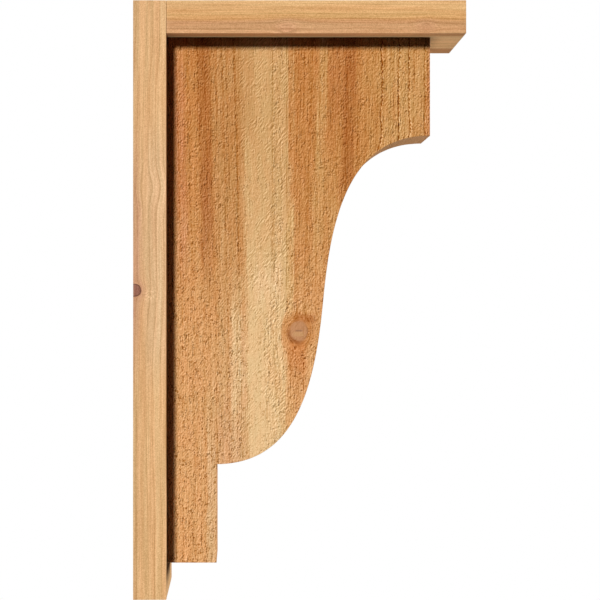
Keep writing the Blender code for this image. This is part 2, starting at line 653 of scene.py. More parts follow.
def fibre_height(point, torn, strokes, which_way, seed):
    """Three sizes of torn fibre added up, and strokes that slant one way or the other."""
    fine = cells(point, (1.2, 1.2, 2.1), seed, curl=0.6)
    ridges = cells(point, (1.25, 1.25, 20), seed)
    coarse = cells(point, (2.4, 2.4, 4.4), seed, curl=0.6)
    fibres = (coarse * 0.7 + (ridges * 0.5 + fine) - 1.1) * torn
    leaning = tint(which_way, turned(point, -SLANT), turned(point, SLANT))
    return [fibres + (cells(leaning, (1.3, 40, 7.0), seed) - 0.5) * strokes]


fibre_height_group = make_group(
    "torn fibres",
    sockets("Vector", "Vector") + sockets("Torn, Strokes, Which Way, Seed"),
    sockets("Height"),
    fibre_height,
)

# %% Sawn fur, a node group
# The painted emboss compares heights this far apart, along the way the key lamp's light crosses the face.
PAINTED_EMBOSS_REACH = 0.55 * MM
PAINTED_LIGHT_WAY = (0.6, 0.0, -0.8)
FUR_RISE = 1.3 * MM
BLOT_PIT = 0.25 * MM


def sawn_fur(point, at, torn, strokes, blots, seed):
    """Height, painted emboss and blots: the fur is rougher in spots, rows and patches, and so are blots."""
    row_of_fibres = cells(join(at, 0.0, 0.0), (5.0, 5.0, 5.0), seed, detail=1.0)
    patch = cells(point, (15, 15, 40), seed, detail=1.0)
    rougher = step_up(patch, 0.35, 0.68) * 0.08 + step_up(row_of_fibres, 0.32, 0.68) * 0.12
    spot = step_up(cells(point, (3.2, 3.2, 8.0), seed + 3.0, curl=0.6) + rougher, 0.60, 0.78)
    turning = cells(point, (60, 60, 90), seed) - 0.42
    stroke_patch = step_up(cells(point, (10, 40, 16), seed), 0.46, 0.62)
    stroke_patch = stroke_patch * step_up(abs(turning), 0.005, 0.03) * strokes
    which_way = calc("GREATER_THAN", turning, 0.0)
    torn_here = torn * fade(spot, 0.5, 1.65)
    ends = []
    for side in (-1, 1):
        moved = vector_calc("ADD", point, tuple(side * PAINTED_EMBOSS_REACH * part for part in PAINTED_LIGHT_WAY))
        ends.append(place(fibre_height_group, Vector=moved, Torn=torn_here, Strokes=stroke_patch,
                          Which_Way=which_way, Seed=seed)["Height"])
    # Painted emboss: high where the relief faces the key lamp and low where it turns away.
    painted_emboss = step_up(ends[1] - ends[0], -0.32, 0.32)
    cluster = (cells(point, (9, 9, 26), seed + 11.0, detail=1.0) - 0.52) * 0.28
    tufts = cells(point, (2.1, 2.1, 2.5), seed + 7.0, curl=1.0) + cluster
    # Blots are pits in the relief, and the finish paints shade into them.
    blot = step_up(spot * 0.10 + tufts, 0.665, 0.745) * blots
    height = (ends[0] + ends[1]) * (0.5 * FUR_RISE) - blot * BLOT_PIT
    return height, painted_emboss, blot


fur_group = make_group(
    "sawn fur",
    sockets("Vector", "Vector") + sockets("Place, Torn, Strokes, Blots, Seed"),
    sockets("Height, Nap, Blot"),
    sawn_fur,
)

# %% [markdown]
# Where the blade met a hard ring it tore a line of fibres out beside it. Such a seam
# runs up the whole board as a thin groove, broken into beads, that wanders a little, and
# the shade in it is painted as a dark line.

# %% Torn seams, a node group


def beaded_line(at, along, centre, width, bead, wiggle, seed):
    """1 on the line and 0 off it: wider and darker in its beads."""
    bend = (cells(join(0.0, 0.0, along), (6, 6, 6), seed, detail=1.0) - 0.5) * wiggle
    off = abs(at + bend - centre) / width
    beads = cells(join(0.0, 0.0, along / bead * MM), (1, 1, 1), seed, detail=1.0)
    beads = step_up(beads, 0.34, 0.58)
    return [step_up(off - beads * 0.6, 0.7, 0.0) * fade(beads, 0.2, 1.0)]


seam_group = make_group(
    "torn seam",
    sockets("Place, Along, Centre, Width, Bead, Wiggle, Seed"),
    sockets("Seam"),
    beaded_line,
)


def seam(at, along, centre, width_mm, bead_mm, wiggle_mm, seed):
    """A torn seam at a place in metres, with its measures in millimetres."""
    return place(seam_group, Place=at, Along=along, Centre=centre, Width=width_mm * MM,
                 Bead=bead_mm * MM, Wiggle=wiggle_mm * MM, Seed=seed)["Seam"]


# %% [markdown]
# The arrises, the long corners of a board, get a painted highlight. The mesh marks how
# near a point is to an arris, and this group breaks that up with noise into patches of
# painted highlight.

# %% Painted highlights on the arrises, a node group


def painted_highlight_near(point, arris, amount, seed):
    """How near the arris is, in patches, times the amount."""
    patchy = cells(point, (9, 9, 14), seed, detail=2.0)
    return [calc("MULTIPLY", arris * step_up(patchy, 0.35, 0.65), amount, clamp=True)]


arris_highlight_group = make_group(
    "rubbed arris", sockets("Vector", "Vector") + sockets("Arris, Amount, Seed"), sockets("Painted Highlight"), painted_highlight_near,
)

# %% [markdown]
# The corbel's wood, as the photograph shows it from the wall outwards: brown heartwood
# with a dark streak, a broad pale band that ends in one sharp ring, orange wood with
# fine lines, a red streak, and lighter wood in the nose. The whole board gets lighter
# towards its foot. A knot lies near the ogee, in a stained halo.

# %% The colours and bands of the corbel
HEART_BROWN = paint(197, 132, 71)
DARK_HEART = paint(174, 106, 48)
RED_HEART = paint(176, 106, 56)
ROSE = paint(198, 128, 82)
CREAM = paint(222, 180, 130)
PALE_ROSE = paint(202, 150, 97)
TAN = paint(192, 137, 80)
HONEY = paint(199, 142, 80)
STRAW = paint(208, 158, 98)
PALE = paint(209, 162, 106)
# Each band: its ring place, half width and soft sides in millimetres, its colour, its
# strength, and the heights between which it shows.
CORBEL_BANDS = [
    (58, 4, 6, ROSE, 0.55, 0.04, 0.28),
    (87.5, 4, 6, DARK_HEART, 0.85, 0.05, 0.33),
    (87, 4, 5, RED_HEART, 0.5, 0.04, 0.14),
    (94, 6, 8, TAN, 0.6, -0.33, -0.10),
    (114, 15, 6, TAN, 0.65, 0.02, 0.33),
    (117, 14, 8, TAN, 0.6, -0.33, 0.01),
    (110, 10, 5, ROSE, 0.4, -0.33, -0.14),
    (88, 3, 3, PALE_ROSE, 0.6, -0.33, -0.16),
    (120.5, 5, 6, PALE_ROSE, 0.6, -0.33, -0.02),
    (154, 16, 11, PALE, 1.4, -0.33, 0.33),
    (163.5, 12, 2, PALE, 1.2, -0.33, 0.33),
    (179, 7, 4, HONEY, 0.7, -0.33, -0.10),
    (211, 3, 5, STRAW, 0.6, 0.08, 0.33),
    (229, 9, 4, RED_HEART, 0.35, 0.21, 0.33),
    (220, 11, 8, HONEY, 0.5, 0.05, 0.17),
    (243, 4, 6, DARK_HEART, 0.85, 0.09, 0.33),
    (276, 14, 10, HONEY, 0.6, -0.33, 0.33),
    (306, 18, 12, STRAW, 0.75, -0.33, 0.33),
    (335, 3, 3, ROSE, 0.35, -0.33, 0.33),
]
# The same numbers for bands that stand upright, whose place is the distance from the wall.
UPRIGHT_BANDS = [
    (129, 6, 7, TAN, 0.5, 0.19, 0.33),
    (120, 3, 5, PALE, 0.45, -0.14, 0.04),
    (158, 13, 9, CREAM, 0.65, 0.005, 0.035),
    (164, 5, 5, HONEY, 0.4, -0.12, -0.04),
    (181.2, 1.8, 2, HEART_BROWN, 0.9, 0.15, 0.33),
    (180.5, 3.0, 3, STRAW, 0.9, -0.01, 0.11),
    (174.2, 2.3, 1.2, PALE, 1.1, -0.03, 0.33),
]
SHARP_SIDE = 2                # a band whose sides are this soft or less isn't made ragged
print("bands:", len(CORBEL_BANDS), "along the rings,", len(UPRIGHT_BANDS), "upright")

# %% [markdown]
# All the corbel's patterns hang on a few wires: the coordinates that the knot has bent,
# the rings and the fibre in them, the distance from the wall and the height. The grain
# leans to the wall on the left of the torn wedge and away from it on the right, so the
# bands spread like a fan towards the top.

# %% How the corbel's grain lies
CORBEL_KNOT_X = 0.1905
CORBEL_KNOT_Z = -0.0361
CORBEL_KNOT_SIZE = 0.0110
CORBEL_KNOT_STRETCH = 1.15
CORBEL_PITH = (-0.080, 0.030, 0.0)
# The pale band ends in a wedge of torn wood: X of its left and right side at Z = 0, and
# how much each leans to the right with height. The grain leans out on either side of it.
WEDGE_LEFT = 0.1688
WEDGE_LEFT_LEAN = -0.027
WEDGE_RIGHT = 0.1725
WEDGE_RIGHT_LEAN = 0.0163
GRAIN_LEAN_LEFT = -0.029
GRAIN_LEAN_RIGHT = 0.0267
LEAN_STARTS = -0.03           # below this height the grain stands upright


def bare_material(name):
    """A new material, its shader and the wire of its Object coordinates."""
    material = bpy.data.materials.new(name)
    material.use_nodes = True
    coordinates = material.node_tree.nodes.new("ShaderNodeTexCoord")
    return material, material.node_tree.nodes["Principled BSDF"], Wire(coordinates.outputs["Object"])


def corbel_grain(here):
    """The knot, the rings and the fibre, with the distance from the wall and the height.

    The ring group multiplies the lean by the height. Here the lean is divided by the height
    and multiplied by the larger of the height and LEAN_STARTS, so that below that height
    the shift stays the same and the grain is upright.
    """
    knot = place(knot_group, Vector=here, Centre=(CORBEL_KNOT_X, corbel_low.y, CORBEL_KNOT_Z),
                 Size=CORBEL_KNOT_SIZE, Stretch=CORBEL_KNOT_STRETCH, Length=0.16, Seed=3.0)
    across, _, height = split(knot["Vector"])
    above = calc("MAXIMUM", height, LEAN_STARTS)
    right_of_wedge = step_up(across, above * WEDGE_LEFT_LEAN + WEDGE_LEFT,
                             above * WEDGE_RIGHT_LEAN + WEDGE_RIGHT)
    lean = fade(right_of_wedge, GRAIN_LEAN_LEFT, GRAIN_LEAN_RIGHT) * (above / (height + 0.00001))
    rings = place(ring_group, Vector=knot["Vector"], Pith=CORBEL_PITH, Face_Depth=corbel_low.y,
                  Lean=lean, Wander=0.003, Ring_Width=0.0085, Seed=1.7)
    fibre = place(fibre_group, Vector=knot["Vector"], Seed=4.2)
    return knot, rings, fibre, across, height


# %% [markdown]
# The bands are laid over plain heartwood one after another, as a painter would glaze
# them. Ragged sides come from shifting a band's place by noise before it is laid.

# %% The corbel's bands of colour
PALER_TO_THE_FOOT = (0.083, 0.112, 0.125)
RIM_COLOUR = paint(224, 172, 126)


def vary(colour, value, low, high):
    """Multiply a colour by one that runs from low to high with a value of 0 to 1."""
    return tint(1.0, colour, tint(value, low, high), "MULTIPLY")


def banded_colour(grain_at, rings, fibre, across, height, downward, sawn_rim):
    """The heartwood with its bands, paler to the foot and on the sawn rim."""
    ragged = rings["Place"] + (cells(grain_at, (5, 5, 20), 41.0, detail=2.0) - 0.5) * (9 * MM)
    patchy = step_up(cells(grain_at, (8, 8, 30), 43.0, detail=2.0), 0.3, 0.7)
    broken = (fibre["Streak"] + patchy) * 0.5
    colour = HEART_BROWN
    for band in CORBEL_BANDS:
        at = ragged if band[2] > SHARP_SIDE else rings["Place"]
        colour = lay_band(colour, band, at, height, broken, 0.12)
    for band in UPRIGHT_BANDS:
        colour = lay_band(colour, band, across, height, broken, 0.05)
    colour = shaded(colour, downward, PALER_TO_THE_FOOT)
    hue = step_up(cells(grain_at, (9, 9, 34), 31.0, detail=1.0), 0.36, 0.64)
    colour = vary(colour, hue, (1.015, 0.98, 0.97, 1.0), (0.99, 1.01, 1.01, 1.0))
    return tint(sawn_rim * 0.65, colour, RIM_COLOUR)


# %% [markdown]
# The photograph shows the knot as a smooth, pinkish disc with a paler lens and a dark
# slit in it. Its lower left is edged by a dark crescent, a tongue of stained wood hangs
# below it, and a brown smear lies over it. Places on it are measured in its own radii.

# %% The corbel's knot
KNOT_RINGS = 21.0             # a fine ring in the branch every 2 pi / 21 of its radius


def knot_colour(colour, knot):
    """The colour with the knot's stain, tongue, smear, branch and dark edge laid over it."""
    across, _, up = split(knot["Local"])
    distance = knot["Distance"]
    colour = tint(knot["Halo"] * 0.65, colour, paint(200, 130, 68))
    tongue = hump(up, -6.2, -2.5, -1.4, -0.6) * near_to(across, -0.15, 1.3, 0.5)
    colour = tint(tongue * 0.55, colour, paint(200, 118, 56))
    smear = near_to(across, 0.7, 1.6, 0.5) * near_to(up, 1.15, 0.65, 0.15)
    colour = tint(smear * 0.6, colour, paint(172, 98, 40))
    grey = fade(fade(calc("SINE", distance * KNOT_RINGS), 0.5, 1.0), 0.985, 1.015)
    branch = tint(1.0, paint(191, 136, 93), join(grey, grey, grey), "MULTIPLY")
    lens = near_to(up, -0.28, 0.32, 0.10) * near_to(across, 0.0, 0.8, 0.3)
    branch = tint(lens * 0.7, branch, paint(202, 154, 104))
    slit = near_to(up, 0.05, 0.11, 0.04) * near_to(across, 0.0, 0.45, 0.25)
    branch = tint(slit * 0.5, branch, paint(128, 94, 74))
    colour = tint(knot["Core"], colour, branch)
    crescent = hump(distance, 0.78, 0.98, 1.0, 1.5) * fade(knot["Low Left"], 0.12, 0.77)
    return tint(crescent, colour, paint(152, 88, 42))


# %% [markdown]
# The fur isn't the same all over. The pale band is plain, with long strokes, and calmer
# still low down. The wedge of torn wood at its end, the wood over the knot and the
# nose's own edge are the roughest, and pulled tufts get more common towards the foot.

# %% Where the corbel is rough
TEAR_LEFT = 0.1595            # X of the two sides of the torn wedge in its upper part
TEAR_RIGHT = 0.1714
GROOVE = 0.1767               # X of the sharp ring that ends the calm strip beside it
NOSE_EDGE = (0.3372, 0.3385)


def corbel_fur(knot, rings, across, height, downward):
    """The fur, and how strong the grain shows in it."""
    across_knot, _, up_knot = split(knot["Local"])
    low_down = step_up(height, 0.01, -0.05)
    tear_left = low_down * (-8 * MM) + TEAR_LEFT
    tear_right = low_down * (6 * MM) + TEAR_RIGHT
    past_left = step_up(across, tear_left, tear_left + 1.5 * MM)
    tear_column = past_left * step_up(across, tear_right + 1 * MM, tear_right)
    calm_strip = step_up(across, tear_right, tear_right + 1 * MM) * step_up(across, GROOVE + 2 * MM, GROOVE)
    pale_wood = step_up(rings["Place"], 0.123, 0.136) * (1.0 - past_left)
    plain = calc("MAXIMUM", pale_wood, calm_strip)
    even = plain * step_up(height, 0.03, -0.05)
    over_knot = hump(up_knot, 0.9, 1.4, 2.6, 3.8) * near_to(across_knot, -0.45, 1.5, 0.7)
    torn = fade(plain, 1.0, 0.55) - even * 0.22 + over_knot * 0.6
    torn = torn * fade(knot["Halo"], 1.0, 0.55)
    blots = fade(downward, 0.28, 1.0) - plain * 0.4 + over_knot * 0.7
    blots = blots * fade(knot["Halo"], 1.0, 0.1) * fade(tear_column * low_down, 1.0, 0.35)
    strokes = (fade(tear_column, 0.6, 1.4) + plain * 0.4) * fade(even, 1.0, 0.45)
    strokes = strokes + step_up(across, *NOSE_EDGE)
    fur = place(fur_group, Vector=knot["Vector"], Place=rings["Place"], Torn=torn, Strokes=strokes,
                Blots=blots, Seed=2.0)
    return fur, fade(plain, 1.0, 0.3)


# %% [markdown]
# Four torn seams follow the rings and one edges the wedge. They are sunk in the bump, and
# the shade in them is painted dark. Beside the wedge runs the painted shade of a sharp
# groove, in long beads, with no relief of its own, and in places the rings themselves
# show as fainter seams.

# %% The corbel's seams
# Each seam: its ring place, width, bead length and wiggle in millimetres, its depth, and
# the lowest height that it reaches.
CORBEL_SEAMS = [
    (123.5, 1.0, 6, 1.5, 0.7, 0.04),
    (186, 0.5, 40, 0.5, 0.45, 0.0),
    (198.5, 1.2, 5, 2.0, 0.5, 0.05),
    (290.5, 0.9, 4, 2.5, 0.5, -0.33),
]


def corbel_seams(rings, across, height, grain):
    """The painted shade of the sharp groove, and all the torn seams together, each from 0 to 1."""
    upper = step_up(height, -0.03, 0.03)
    # The groove is painted shade only, with no relief. The seams are sunk in the bump too, and their dark
    # lines are painted shade.
    groove = seam(across, height, GROOVE, 0.60, 40, 0.5, 19.0) * upper
    seams = seam(across, height, TEAR_LEFT + 0.6 * MM, 1.0, 5, 2.0, 18.0) * upper * 0.55
    for number, (middle, width, bead, wiggle, depth, lowest) in enumerate(CORBEL_SEAMS):
        line = seam(rings["Place"], height, middle * MM, width, bead, wiggle, 20.0 + number)
        line = line * step_up(height, lowest - 0.04, lowest + 0.04)
        seams = calc("MAXIMUM", seams, line * depth)
    beads = cells(join(rings["Place"] * 0.4, 0.0, height), (3, 3, 4.5), 13.0, curl=0.4)
    ring_seams = rings["Ring Line"] * step_up(beads, 0.42, 0.62)
    return groove, calc("MAXIMUM", seams, ring_seams * grain * 0.6)


# %% [markdown]
# The nose has dried fastest and has cracked along the grain. The mesh gives each check
# its groove, and marks how near a point is to one and how far to its right. The finish
# paints the shade in the crack as a dark line, jagged and beaded, and paints a
# highlight on the tufts on its right side, the side that the key lamp lights.

# %% The checks in the nose
# Where the painted highlight on the tufts lies, to the right of a check.
LIT_TUFTS_AT = 1.15 * MM
LAST_CHECK = (0.332, 0.334)   # the check nearest the edge is fainter than the others


def check_parts(here):
    """The painted shade in a check and the painted highlight on the tufts to the right of it, each from 0
    to 1.
    """
    beside = step_up(mark_value(here, "check"), 0.15, 0.35)
    jag = cells(here, (6, 6, 3.6), 55.0) - 0.5
    off = jag * (3.0 * MM) + mark_value(here, "aside")
    bead = step_up(cells(here, (5, 5, 2.6), 53.0), 0.36, 0.60)
    half = fade(bead, 0.25 * MM, 0.75 * MM)
    # The dark line is painted shade in the crack.
    line = step_up(abs(off), half + 0.35 * MM, half) * fade(bead, 0.6, 1.0)
    line = line * fade(step_up(split(here)[0], *LAST_CHECK), 1.0, 0.65)
    # The tufts right of the check get a painted highlight, on the side that the key lamp lights.
    tuft = step_up(cells(here, (4, 4, 2.2), 51.0), 0.46, 0.60)
    lip = near_to(off, LIT_TUFTS_AT, 0.65 * MM, 0.30 * MM)
    return line * beside, lip * tuft * beside


# %% [markdown]
# Now the parts come together. The colour comes first, then fibres darken or light it by
# a step of the screen, and so do painted light and shade: the emboss of the fur, shade in
# its pits, seams, groove and checks, and a highlight on the tufts beside the checks. The
# same fur and seams make the bump, so that colour and relief agree.

# %% Rough-sawn cedar, put together
# How far fibres, saw teeth and the painted light and shade of emboss, pits, seams, groove,
# checks and tufts darken or light the wood, in steps of the screen from 0 to 1, and the
# balance of red, green and blue in such a step.
STREAK_SHADE = 0.05
HAIR_SHADE = 0.045
PAINTED_EMBOSS_STEP = 0.18
PIT_PAINTED_SHADE = 0.17
SEAM_PAINTED_SHADE = 0.16
GROOVE_PAINTED_SHADE = 0.14
CHECK_PAINTED_SHADE = 0.23
LIP_PAINTED_HIGHLIGHT = 0.17
TEETH_SHADE = 0.22
SHADE_BALANCE = (0.9, 1.0, 1.1)
SEAM_DEPTH = 0.35 * MM


def stand_out(height, shader):
    """Let a height in metres bend the light as relief does."""
    bump = new_node("Bump", {"Height": height, "Distance": 1.0})
    connect(Wire(bump.outputs["Normal"]), shader.inputs["Normal"])


def rough_cedar():
    """Rough-sawn cedar, coloured and furred as the corbel's faces are."""
    material, shader, here = bare_material("rough_sawn_cedar")
    knot, rings, fibre, across, height = corbel_grain(here)
    broad = mark_value(here, "broad")
    sawn_rim = 1.0 - broad
    downward = step_up(height, 0.21, -0.09)
    colour = banded_colour(knot["Vector"], rings, fibre, across, height, downward, sawn_rim)
    colour = knot_colour(colour, knot)
    fur, grain = corbel_fur(knot, rings, across, height, downward)
    groove, seams = corbel_seams(rings, across, height, grain)
    check_line, tuft_painted_highlight = check_parts(here)
    teeth = cells(join(mark_value(here, "run"), split(here)[1], 0.0), (1.6, 40, 1.6), 37.0, detail=1.0)

    shade = ((fibre["Streak"] - 0.5) * STREAK_SHADE + (fibre["Hair"] - 0.5) * HAIR_SHADE) * grain
    # Painted light and shade: the emboss, shade in the pits, seams, groove and checks, and a highlight on
    # the tufts.
    shade = shade + (fur["Nap"] - 0.5) * PAINTED_EMBOSS_STEP - fur["Blot"] * PIT_PAINTED_SHADE
    shade = shade - seams * SEAM_PAINTED_SHADE - groove * GROOVE_PAINTED_SHADE
    shade = shade - check_line * CHECK_PAINTED_SHADE + tuft_painted_highlight * LIP_PAINTED_HIGHLIGHT
    shade = shade * fade(sawn_rim, 1.0, 0.4) + (teeth - 0.5) * (sawn_rim * TEETH_SHADE)
    colour = shaded(colour, shade * fade(knot["Core"], 1.0, 0.3), SHADE_BALANCE)
    connect(colour, shader.inputs["Base Color"])

    relief = fur["Height"] * fade(knot["Core"], 1.0, 0.15) * fade(broad, 0.25, 1.0)
    stand_out(relief - seams * SEAM_DEPTH, shader)
    connect(fade(fibre["Hair"], 0.76, 0.88), shader.inputs["Roughness"])
    shader.inputs["Specular IOR Level"].default_value = 0.15
    return material


rough_cedar_material = rough_cedar()
print("rough cedar:", len(rough_cedar_material.node_tree.nodes), "nodes")

# %% [markdown]
# The planed boards are cut from the same stock, paler and smoother. The planer leaves
# the late wood of each ring a hair proud, and otherwise a soft satin skin. The arrises
# get a painted highlight, and the end grain, where the fibres are cut across, is darker.

# %% The skin that both planed boards share
ARRIS_HIGHLIGHT = paint(238, 200, 152)
END_GRAIN_SHADE = -0.10
PORE_DEPTH = 0.25 * MM
LATE_WOOD_RISE = 0.06 * MM


def planed_skin(shader, colour, rings, fibre, here, log, threads):
    """Fibre, painted highlights on the arrises, relief and sheen; log is the place in the tree it grew in.
    """
    warmth = step_up(cells(log, (6, 6, 150), 15.0, detail=1.0), 0.35, 0.65)
    colour = vary(colour, warmth, (1.02, 0.97, 0.94, 1.0), (0.99, 1.02, 1.01, 1.0))
    specks = cells(here, (1.05, 1.05, 1.05), 9.0, curl=0.4)
    thread = cells(log, (1.5, 1.5, 60), 17.0)
    shade = (fibre["Streak"] - 0.5) * 0.035 + (fibre["Hair"] - 0.5) * 0.040
    shade = shade + (thread - 0.5) * threads + (specks - 0.5) * 0.20
    shade = shade - rings["Ring Line"] * 0.050 - rings["Late Wood"] * 0.018
    colour = shaded(colour, shade + (rings["Ring Tone"] - 0.2) * 0.030)
    # A painted highlight along the arrises, in patches.
    arris_highlight = place(arris_highlight_group, Vector=here, Arris=mark_value(here, "arris"), Amount=0.2, Seed=5.0)
    colour = tint(arris_highlight["Painted Highlight"], colour, ARRIS_HIGHLIGHT)
    colour = shaded(colour, mark_value(here, "end_grain") * END_GRAIN_SHADE, SHADE_BALANCE)
    connect(colour, shader.inputs["Base Color"])
    pores = cells(log, (0.8, 0.8, 9.0), 9.0)
    stand_out(pores * PORE_DEPTH - rings["Late Wood"] * LATE_WOOD_RISE, shader)
    connect(fade(fibre["Streak"], 0.55, 0.67), shader.inputs["Roughness"])
    shader.inputs["Specular IOR Level"].default_value = 0.3


# %% [markdown]
# The back plate has half a dark knot at its wall edge. Higher up its grain parts round a
# knot that lies hidden behind the face. There are a few light scratches beside the half
# knot, and the face is a little darker towards its wall edge.

# %% Planed cedar for the back plate
PLATE_COLOUR = paint(219, 172, 119)
PLATE_BAND = (1, 4, 12, paint(205, 152, 113), 0.8, -0.06, 0.16)
PLATE_KNOT = (0.0020, plate_low.y, 0.0110)
PLATE_KNOT_SIZE = 0.0072
HIDDEN_KNOT_HEIGHT = 0.128
HIDDEN_KNOT_REACH = 30 * MM
PALE_SPOT_STEP = 0.022
SCRATCH_STEP = 0.09
MIDDLE_STEP = (0.004, 0.022, 0.045)
WALL_EDGE_STEP = (-0.065, -0.05, -0.04)


def plate_cedar():
    """Planed cedar with upright grain and half a knot at the wall."""
    material, shader, here = bare_material("planed_cedar_back_plate")
    out, depth, height = split(here)
    knot = place(knot_group, Vector=here, Centre=PLATE_KNOT, Size=PLATE_KNOT_SIZE, Stretch=1.0,
                 Length=0.07, Seed=6.0)
    parted = near_to(height, HIDDEN_KNOT_HEIGHT, HIDDEN_KNOT_REACH, 0.0)
    parted = parted * step_up(depth, plate_low.y + HIDDEN_KNOT_REACH, plate_low.y + 2 * MM)
    push = fade(step_up(out, 6 * MM, 26 * MM), 2.6 * MM, -4.4 * MM)
    log = vector_calc("ADD", knot["Vector"], join(parted * push, 0.0, 0.0))
    rings = place(ring_group, Vector=log, Pith=(-0.12, 0.01, 0.0), Face_Depth=plate_low.y,
                  Lean=0.004, Wander=0.011, Ring_Width=0.0062, Seed=8.3)
    fibre = place(fibre_group, Vector=log, Seed=2.4)
    colour = lay_band(PLATE_COLOUR, PLATE_BAND, rings["Place"], height, fibre["Streak"], 0.12)
    colour = tint(knot["Halo"] * 0.35, colour, paint(190, 132, 92))
    pale_spot = parted * step_up(out, 12 * MM, 22 * MM)
    scratched = near_to(height, 5 * MM, 8 * MM, 3 * MM) * near_to(out, 21 * MM, 9 * MM, 5 * MM)
    scratches = step_up(cells(here, (2.4, 2.4, 1.8), 33.0, curl=0.8), 0.52, 0.60)
    colour = shaded(colour, pale_spot * PALE_SPOT_STEP + scratched * scratches * SCRATCH_STEP)
    in_middle = near_to(height, 0.055, 0.18, 0.09) * step_up(out, 8 * MM, 20 * MM)
    colour = shaded(colour, in_middle, MIDDLE_STEP)
    colour = shaded(colour, step_up(out, 11 * MM, 0.5 * MM), WALL_EDGE_STEP)
    colour = tint(knot["Core"], colour, paint(141, 88, 68))
    rim = hump(knot["Distance"], 0.78, 0.92, 1.0, 1.12)
    colour = tint(rim * 0.9, colour, paint(98, 52, 32))
    planed_skin(shader, colour, rings, fibre, here, log, 0.11)
    return material


plate_cedar_material = plate_cedar()
print("plate:", len(plate_cedar_material.node_tree.nodes), "nodes")

# %% [markdown]
# The arm's grain runs along X. It is pale at the top, honey brown below that and rosy
# along its lower side, where it has two faint knots. Its underside, back from the front
# strip, gets painted light.

# %% Planed cedar for the arm
ARM_LIGHT = paint(226, 177, 120)
ARM_DARK = paint(210, 158, 97)
ARM_ROSY = paint(203, 151, 102)
UNDERSIDE_PAINTED_LIGHT = (0.13, 0.17, 0.15)
ARM_KNOTS = [
    ((0.3123, arm_low.y, 0.3349), 0.0045),
    ((0.3110, arm_low.y, 0.1759), 0.0050),
]


def arm_cedar():
    """Planed cedar with its grain along X and two faint knots."""
    material, shader, here = bare_material("planed_cedar_arm")
    x, y, z = split(here)
    log = join(z, y, x)
    knots = []
    for number, (centre, size) in enumerate(ARM_KNOTS):
        knots.append(place(knot_group, Vector=log, Centre=centre, Size=size, Stretch=1.6,
                           Length=0.05, Seed=11.0 + number))
        log = knots[-1]["Vector"]
    rings = place(ring_group, Vector=log, Pith=(0.20, 0.01, 0.0), Face_Depth=arm_low.y,
                  Lean=0.0, Wander=0.004, Ring_Width=0.0058, Seed=5.1)
    fibre = place(fibre_group, Vector=log, Seed=7.7)
    colour = tint(step_up(rings["Place"], 0.3429, 0.3220), ARM_LIGHT, ARM_DARK)
    colour = tint(step_up(rings["Place"], 0.3225, 0.3165), colour, ARM_ROSY)
    # Painted light on the underside, back from its front strip.
    underside_painted_light = hump(y, -0.058, -0.046, 0.024, 0.044)
    underside_painted_light = underside_painted_light * step_up(z, arm_low.z + 12 * MM, arm_low.z + 2 * MM)
    colour = shaded(colour, underside_painted_light, UNDERSIDE_PAINTED_LIGHT)
    for knot in knots:
        colour = tint(knot["Halo"] * 0.3, colour, paint(205, 148, 108))
        colour = tint(knot["Core"] * 0.2, colour, paint(200, 142, 102))
    planed_skin(shader, colour, rings, fibre, here, log, 0.10)
    return material


arm_cedar_material = arm_cedar()
print("arm:", len(arm_cedar_material.node_tree.nodes), "nodes")

# %% [markdown]
# A planed board could be a cube with a bevel, but real stock has eased arrises, faint
# ripples from the planer and late wood standing a little proud. So its skin is six
# grids that share their edges. Each point is pulled back to a smaller inner box and
# pushed out again by the arris radius, which rounds all the edges at once, and then
# moved in along its own normal by the relief.

# %% Boards
ARRIS = 0.4 * MM
BOARD_STEP_ACROSS = 1.9 * MM
BOARD_STEP_ALONG = 4.0 * MM
PLANED_RELIEF = 0.10 * MM
TIGHT_JOINT = 0.22 * MM       # of the 0.3 mm that keeps the two solids from touching


def ruled(low, high, step):
    """Places along one side of a board: about a step apart, closer at the two arrises."""
    count = max(2, round((high - low - 2 * ARRIS) / step))
    inner = np.linspace(low + ARRIS, high - ARRIS, count + 1)
    half_way = ARRIS * (1 - math.tan(math.pi / 8))
    return np.concatenate([[low, low + half_way], inner, [high - half_way, high]])


def box_skin(lines):
    """Points and faces of a box: each face holds one coordinate still and lets two run."""
    points, faces, count = [], [], 0
    for axis in range(3):
        first, second = (axis + 1) % 3, (axis + 2) % 3
        a, b = np.meshgrid(lines[first], lines[second], indexing="ij")
        for end in (0, -1):
            sheet = np.empty((*a.shape, 3))
            sheet[..., first] = a
            sheet[..., second] = b
            sheet[..., axis] = lines[axis][end]
            index = count + np.arange(a.size).reshape(a.shape)
            faces.append(grid_faces(index, flip=end == 0))
            points.append(sheet.reshape(-1, 3))
            count += a.size
    points = np.concatenate(points)
    shared, number = np.unique(np.round(points, 7), axis=0, return_inverse=True)
    return shared, number.ravel()[np.concatenate(faces)]


